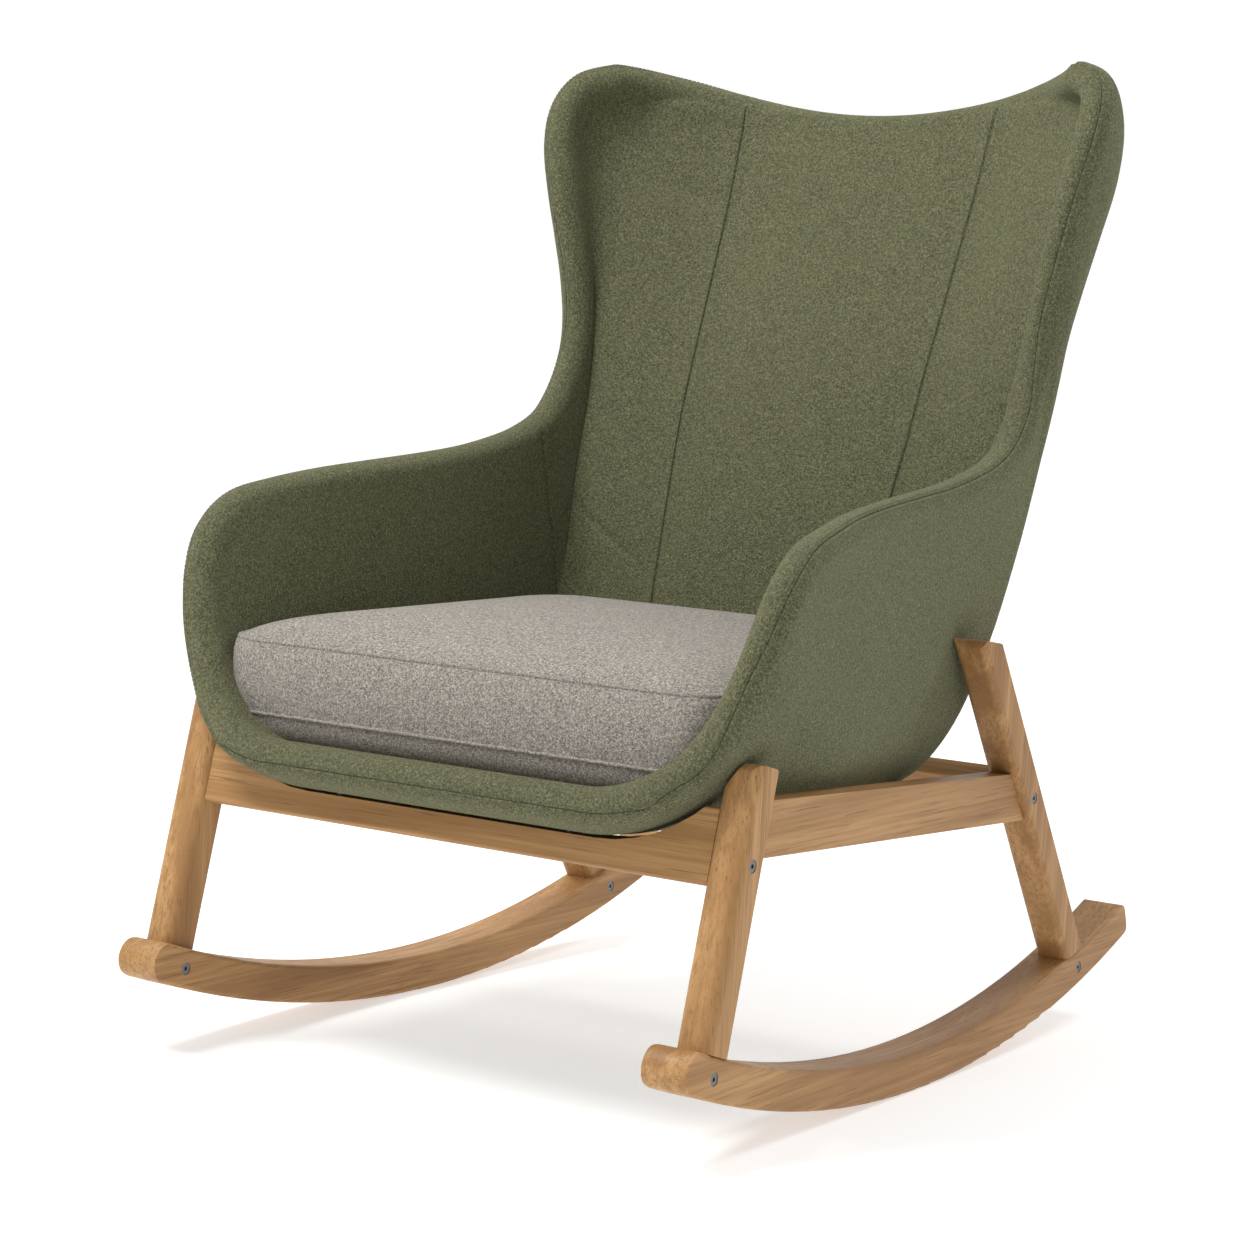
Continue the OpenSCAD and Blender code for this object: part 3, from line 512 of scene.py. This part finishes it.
def stitch_row(name, lines, pitch, length, radius, material):
    """Stitches laid by geometry nodes along poly lines."""
    curve = bpy.data.curves.new(name + "_path", "CURVE")
    curve.dimensions = "3D"
    for line in lines:
        spline = curve.splines.new("POLY")
        spline.points.add(len(line) - 1)
        weighted = np.concatenate([line, np.ones((len(line), 1))], 1)
        spline.points.foreach_set("co", weighted.ravel())
    path = bpy.data.objects.new(name + "_path", curve)
    bpy.context.scene.collection.objects.link(path)
    tree = bpy.data.node_groups.new(name, "GeometryNodeTree")
    tree.interface.new_socket("Geometry", in_out="INPUT", socket_type="NodeSocketGeometry")
    tree.interface.new_socket("Geometry", in_out="OUTPUT", socket_type="NodeSocketGeometry")
    values = {"Pitch": pitch, "Stitch length": length, "Thread radius": radius, "Thread": material}
    sockets = {}
    for label in values:
        kind = "NodeSocketMaterial" if label == "Thread" else "NodeSocketFloat"
        sockets[label] = tree.interface.new_socket(label, in_out="INPUT", socket_type=kind)
    add, link = tree.nodes.new, tree.links.new
    start, end = add("NodeGroupInput"), add("NodeGroupOutput")
    spots = add("GeometryNodeCurveToPoints")
    spots.mode = "LENGTH"
    link(start.outputs["Geometry"], spots.inputs["Curve"])
    link(start.outputs["Pitch"], spots.inputs["Length"])
    bead = add("GeometryNodeMeshCylinder")
    bead.inputs["Vertices"].default_value = 6
    link(start.outputs["Thread radius"], bead.inputs["Radius"])
    link(start.outputs["Stitch length"], bead.inputs["Depth"])
    place = add("GeometryNodeInstanceOnPoints")
    link(spots.outputs["Points"], place.inputs["Points"])
    link(bead.outputs["Mesh"], place.inputs["Instance"])
    link(spots.outputs["Rotation"], place.inputs["Rotation"])
    real = add("GeometryNodeRealizeInstances")
    link(place.outputs["Instances"], real.inputs["Geometry"])
    finish = add("GeometryNodeSetMaterial")
    link(real.outputs["Geometry"], finish.inputs["Geometry"])
    link(start.outputs["Thread"], finish.inputs["Material"])
    link(finish.outputs["Geometry"], end.inputs["Geometry"])
    modifier = path.modifiers.new(name, "NODES")
    modifier.node_group = tree
    for label, value in values.items():
        modifier[sockets[label].identifier] = value
    ready = path.evaluated_get(bpy.context.evaluated_depsgraph_get())
    mesh = bpy.data.meshes.new_from_object(ready)
    mesh.name = name
    bpy.data.objects.remove(path)
    piece = bpy.data.objects.new(name, mesh)
    bpy.context.scene.collection.objects.link(piece)
    return piece


PITCH, STITCH, THREAD_R = 0.0048, 0.0034, 0.00042
RIM_OFFSET = 12
PANEL_OFFSET = 0.0075
lines = []
for offset in (RIM_OFFSET, -RIM_OFFSET):
    ring = rim_row(HALF + 0.0001, SEAM_AT + offset)
    lines.append(np.concatenate([ring, ring[:1]]))
start = int(np.searchsorted(rows, BACK_START + 0.5))
for sign in (-1, 1):
    for gap in (-PANEL_OFFSET, PANEL_OFFSET):
        at = sign * (PANEL_T + gap)
        line = [
            [np.interp(at, cols, inner_out[i, :, c]) for c in range(3)]
            for i in range(start, ROWS)
        ]
        column = int(np.argmin(np.abs(cols - at)))
        lines.append(np.array(line) + 0.0002 * normal[start:, column])
stitches = stitch_row("shell_topstitching", lines, PITCH, STITCH, THREAD_R, thread)
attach(stitches, "chair")

# ------------------------------------------------------------- seat cushion
# A loose boxed cushion: foam wrapped in wadding inside a tweed cover, crowned
# on top, with a piped seam round the top and the bottom of its border.


TWEED_DARK, TWEED_MID, TWEED_LIGHT = (0.090, 0.080, 0.068), (0.245, 0.222, 0.192), (0.48, 0.445, 0.395)
TWEED_CLOUD = (0.32, 0.29, 0.26)


def grey_material():
    """Tweed: two sets of slubbed yarns that cross at a slant to the chair."""
    t = Tree("grey_tweed")
    place = t.add("ShaderNodeTexCoord").outputs["Object"]
    turn = t.add("ShaderNodeMapping", Vector=place, Rotation=(0.0, 0.0, 0.6)).outputs[0]
    warp = t.noise(t.mapped(turn, (1.0, 0.3, 1.0)), 900.0, 2.0)
    weft = t.noise(t.mapped(turn, (0.3, 1.0, 1.0), (2.0, 1.0, 0.0)), 900.0, 2.0)
    weave = t.math("MAXIMUM", warp, weft)
    slub = t.noise(place, 420.0, 3.0, 0.6)
    tone = t.math("MULTIPLY_ADD", weave, 0.65, t.math("MULTIPLY", slub, 0.35))
    yarn = t.ramp(tone, (0.41, TWEED_DARK), (0.53, TWEED_MID), (0.65, TWEED_LIGHT))
    cloud = t.noise(place, 16.0, 3.0)
    t.put(t.shader, "Base_Color", t.mix(t.mask(cloud, 0.35, 0.7, 0.14), yarn, TWEED_CLOUD))
    t.shader.inputs["Roughness"].default_value = 0.95
    t.shader.inputs["Specular IOR Level"].default_value = 0.12
    t.shader.inputs["Sheen Weight"].default_value = 0.15
    t.shader.inputs["Sheen Roughness"].default_value = 0.5
    t.put(t.shader, "Normal", t.bump(tone, 0.7, 0.0012))
    return t.mat


grey = grey_material()
CUSHION_FRONT, CUSHION_BACK = -0.352, 0.104
CUSHION_MID = (CUSHION_FRONT + CUSHION_BACK) / 2
HALF_FRONT, HALF_BACK = 0.285, 0.240
R_FRONT, R_BACK = 0.046, 0.070
SEAM_RISE = 0.014
CROWN, CROWN_EDGE = 0.026, 0.008
AROUND = 320
Z_BASE = 0.3005
# Height, inset at the sides, inset at the front and inset at the back of the
# border, from the lower seam to the upper one.
BORDER = np.array([
    (0.304, 0.034, 0.004, 0.036), (0.3065, 0.029, -0.001, 0.031), (0.311, 0.023, -0.004, 0.025),
    (0.319, 0.016, -0.0055, 0.018), (0.330, 0.011, -0.006, 0.012), (0.345, 0.006, -0.007, 0.008),
    (0.360, 0.003, -0.007, 0.004), (0.374, 0.001, -0.006, 0.002), (0.386, 0.000, -0.0045, 0.001),
    (0.393, 0.000, -0.002, 0.000), (0.3965, 0.0005, 0.0, 0.0), (0.398, 0.002, 0.001, 0.001),
])
Z_LOW, Z_TOP = BORDER[0, 0], BORDER[-1, 0]
LOW_SEAM = 4


def cushion_plan(side, front, back):
    """Rounded outline of the cushion, narrower towards its back."""
    near = (HALF_FRONT - side, CUSHION_FRONT + front, R_FRONT)
    far = (HALF_BACK - side, CUSHION_BACK - back, R_BACK)
    outline = []
    for sx, sy, start in ((-1, -1, 180), (1, -1, 270), (1, 1, 0), (-1, 1, 90)):
        half, y, r = far if sy > 0 else near
        cx, cy = sx * (half - r), y - sy * r
        for a in np.radians(np.linspace(start, start + 90, 24)):
            outline.append((cx + r * math.cos(a), cy + r * math.sin(a)))
    outline = np.array(outline)
    step = np.linalg.norm(np.roll(outline, -1, 0) - outline, axis=1)
    length = np.concatenate([[0], np.cumsum(step)])
    closed = np.vstack([outline, outline[:1]])
    at = np.linspace(0, length[-1], AROUND, endpoint=False)
    return np.column_stack([np.interp(at, length, closed[:, axis]) for axis in (0, 1)])


def rise(xy):
    """How far the upper seam has climbed from the front, at the points xy."""
    return SEAM_RISE * (xy[:, 1] - CUSHION_FRONT) / (CUSHION_BACK - CUSHION_FRONT)


def border_height(xy, z):
    """Heights of a ring of the border: the lower seam is level, the upper one climbs."""
    return z + rise(xy) * (z - Z_LOW) / (Z_TOP - Z_LOW)


def cushion_mesh():
    """Rings from the middle of the underside, up the border, to the middle of the top."""
    centre = np.array([0.0, CUSHION_MID])
    points, rings = [], []

    def ring(xy, z):
        rings.append(len(points))
        points.extend(np.column_stack([xy, np.broadcast_to(z, len(xy))]))

    low = cushion_plan(*BORDER[0, 1:])
    top = cushion_plan(*BORDER[-1, 1:])
    for k in [*np.linspace(0.04, 0.60, 10), *np.linspace(0.65, 0.985, 16)]:
        upturn = max(0, (k - 0.72) / 0.28) ** 2.2
        ring(centre + (low - centre) * k, Z_BASE + (Z_LOW - Z_BASE) * upturn)
    for z, *inset in BORDER:
        xy = cushion_plan(*inset)
        ring(xy, border_height(xy, z))
    for k in [0.994, 0.985, 0.97, *np.linspace(0.95, 0.34, 36), *np.linspace(0.28, 0.04, 6)]:
        xy = centre + (top - centre) * k
        crown = CROWN * (1 - k**2.6) + CROWN_EDGE * (1 - k**16)
        ring(xy, Z_TOP + rise(xy) + crown)
    faces = []
    for p, q in zip(rings[:-1], rings[1:]):
        for n in range(AROUND):
            m = (n + 1) % AROUND
            faces.append((p + n, p + m, q + m, q + n))
    base = len(points)
    points.append((0.0, CUSHION_MID, Z_BASE))
    points.append((0.0, CUSHION_MID, Z_TOP + SEAM_RISE / 2 + CROWN + CROWN_EDGE))
    for n in range(AROUND):
        m = (n + 1) % AROUND
        faces.append((rings[0] + m, rings[0] + n, base))
        faces.append((rings[-1] + n, rings[-1] + m, base + 1))
    return np.array(points), faces


points, faces = cushion_mesh()
cushion = mesh_piece("seat_cushion_cover", points, faces, grey)
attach(cushion, "cushion")
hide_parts("seat_cushion")


PIPING_R, PIPING_SIDES = 0.0019, 8


def piping(name, path, radius, material):
    """A closed round piping along a loop of points."""
    tangent = unit(np.roll(path, -1, 0) - np.roll(path, 1, 0))
    flat = unit(np.cross(tangent, [0.0, 0.0, 1.0]))
    upright = np.cross(flat, tangent)
    rings = [
        path + radius * (flat * math.cos(a) + upright * math.sin(a))
        for a in np.linspace(0, 2 * math.pi, PIPING_SIDES, endpoint=False)
    ]
    points = np.stack(rings, 1).reshape(-1, 3)
    n, k = len(path), PIPING_SIDES
    faces = [
        (i * k + j, i * k + (j + 1) % k, (i + 1) % n * k + (j + 1) % k, (i + 1) % n * k + j)
        for i in range(n) for j in range(k)
    ]
    return mesh_piece(name, points, faces, material)


for name, row in (("cushion_top_piping", -1), ("cushion_bottom_piping", LOW_SEAM)):
    z, *inset = BORDER[row]
    xy = cushion_plan(*inset)
    path = np.column_stack([xy, border_height(xy, z)])
    pipe = piping(name, path, PIPING_R, grey)
    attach(pipe, "cushion")

# ------------------------------------------------------------- studio
# A pale floor that curves up behind the chair, a large soft key light high on
# the front left, a weaker one high behind on the right, and a bright surround.


def floor_material():
    t = Tree("studio_floor")
    place = t.add("ShaderNodeTexCoord").outputs["Object"]
    paper = t.noise(place, 1.5, 2.0)
    t.put(t.shader, "Base_Color", t.ramp(paper, (0.3, (0.70,) * 3), (0.7, (0.72,) * 3)))
    t.shader.inputs["Roughness"].default_value = 0.95
    t.shader.inputs["Emission Color"].default_value = (1.0, 1.0, 1.0, 1.0)
    t.shader.inputs["Emission Strength"].default_value = 0.50
    return t.mat


FLOOR, BEND, WALL, HALF_WIDTH = 9.0, 4.0, 12.0, 14.0
profile = [(-FLOOR, 0.0), (FLOOR - BEND, 0.0)]
profile += [
    (FLOOR - BEND + BEND * math.sin(a), BEND * (1 - math.cos(a)))
    for a in np.radians(np.linspace(3, 90, 30))
] + [(FLOOR, WALL)]
turn = math.radians(32.9)
sweep = [
    (w * math.cos(turn) - d * math.sin(turn), w * math.sin(turn) + d * math.cos(turn), h)
    for d, h in profile for w in (-HALF_WIDTH, HALF_WIDTH)
]
strips = [(2 * k, 2 * k + 1, 2 * k + 3, 2 * k + 2) for k in range(len(profile) - 1)]
mesh_piece("studio_floor", sweep, strips, floor_material())


def area_light(name, place, aim, size, power):
    light = bpy.data.lights.new(name, "AREA")
    light.shape = "DISK"
    light.size = size
    light.energy = power
    lamp = bpy.data.objects.new(name, light)
    bpy.context.scene.collection.objects.link(lamp)
    way = Vector(aim) - Vector(place)
    lamp.location = place
    lamp.rotation_euler = way.to_track_quat("-Z", "Y").to_euler()


area_light("key", (-1.2, -1.7, 3.7), (0, 0, 0.5), 1.6, 135)
area_light("rim", (1.2, 2.4, 3.4), (0, 0, 0.4), 1.2, 45)
world = bpy.data.worlds.new("surround")
world.use_nodes = True
backdrop = world.node_tree.nodes["Background"]
backdrop.inputs["Color"].default_value = (1.0, 1.0, 1.0, 1.0)
backdrop.inputs["Strength"].default_value = 0.54
bpy.context.scene.world = world
bpy.context.scene.view_settings.view_transform = "Standard"

AZIMUTH, ELEVATION, ROLL = (math.radians(d) for d in (32.92, 5.52, 3.05))
CAMERA_AT = (1.5885, -2.5244, 0.7014)
out = math.cos(ELEVATION)
back = Vector((math.sin(AZIMUTH) * out, -math.cos(AZIMUTH) * out, math.sin(ELEVATION)))
level = Vector((math.cos(AZIMUTH), math.sin(AZIMUTH), 0.0))
upward = back.cross(level)
right = level * math.cos(ROLL) + upward * math.sin(ROLL)
top_way = back.cross(right)
lens = bpy.data.cameras.new("camera")
lens.sensor_width = 36.0
lens.lens = 85.46
lens.clip_end = 100.0
camera = bpy.data.objects.new("camera", lens)
bpy.context.scene.collection.objects.link(camera)
facing = Matrix((right, top_way, back)).transposed().to_4x4()
camera.matrix_world = Matrix.Translation(CAMERA_AT) @ facing
bpy.context.scene.camera = camera
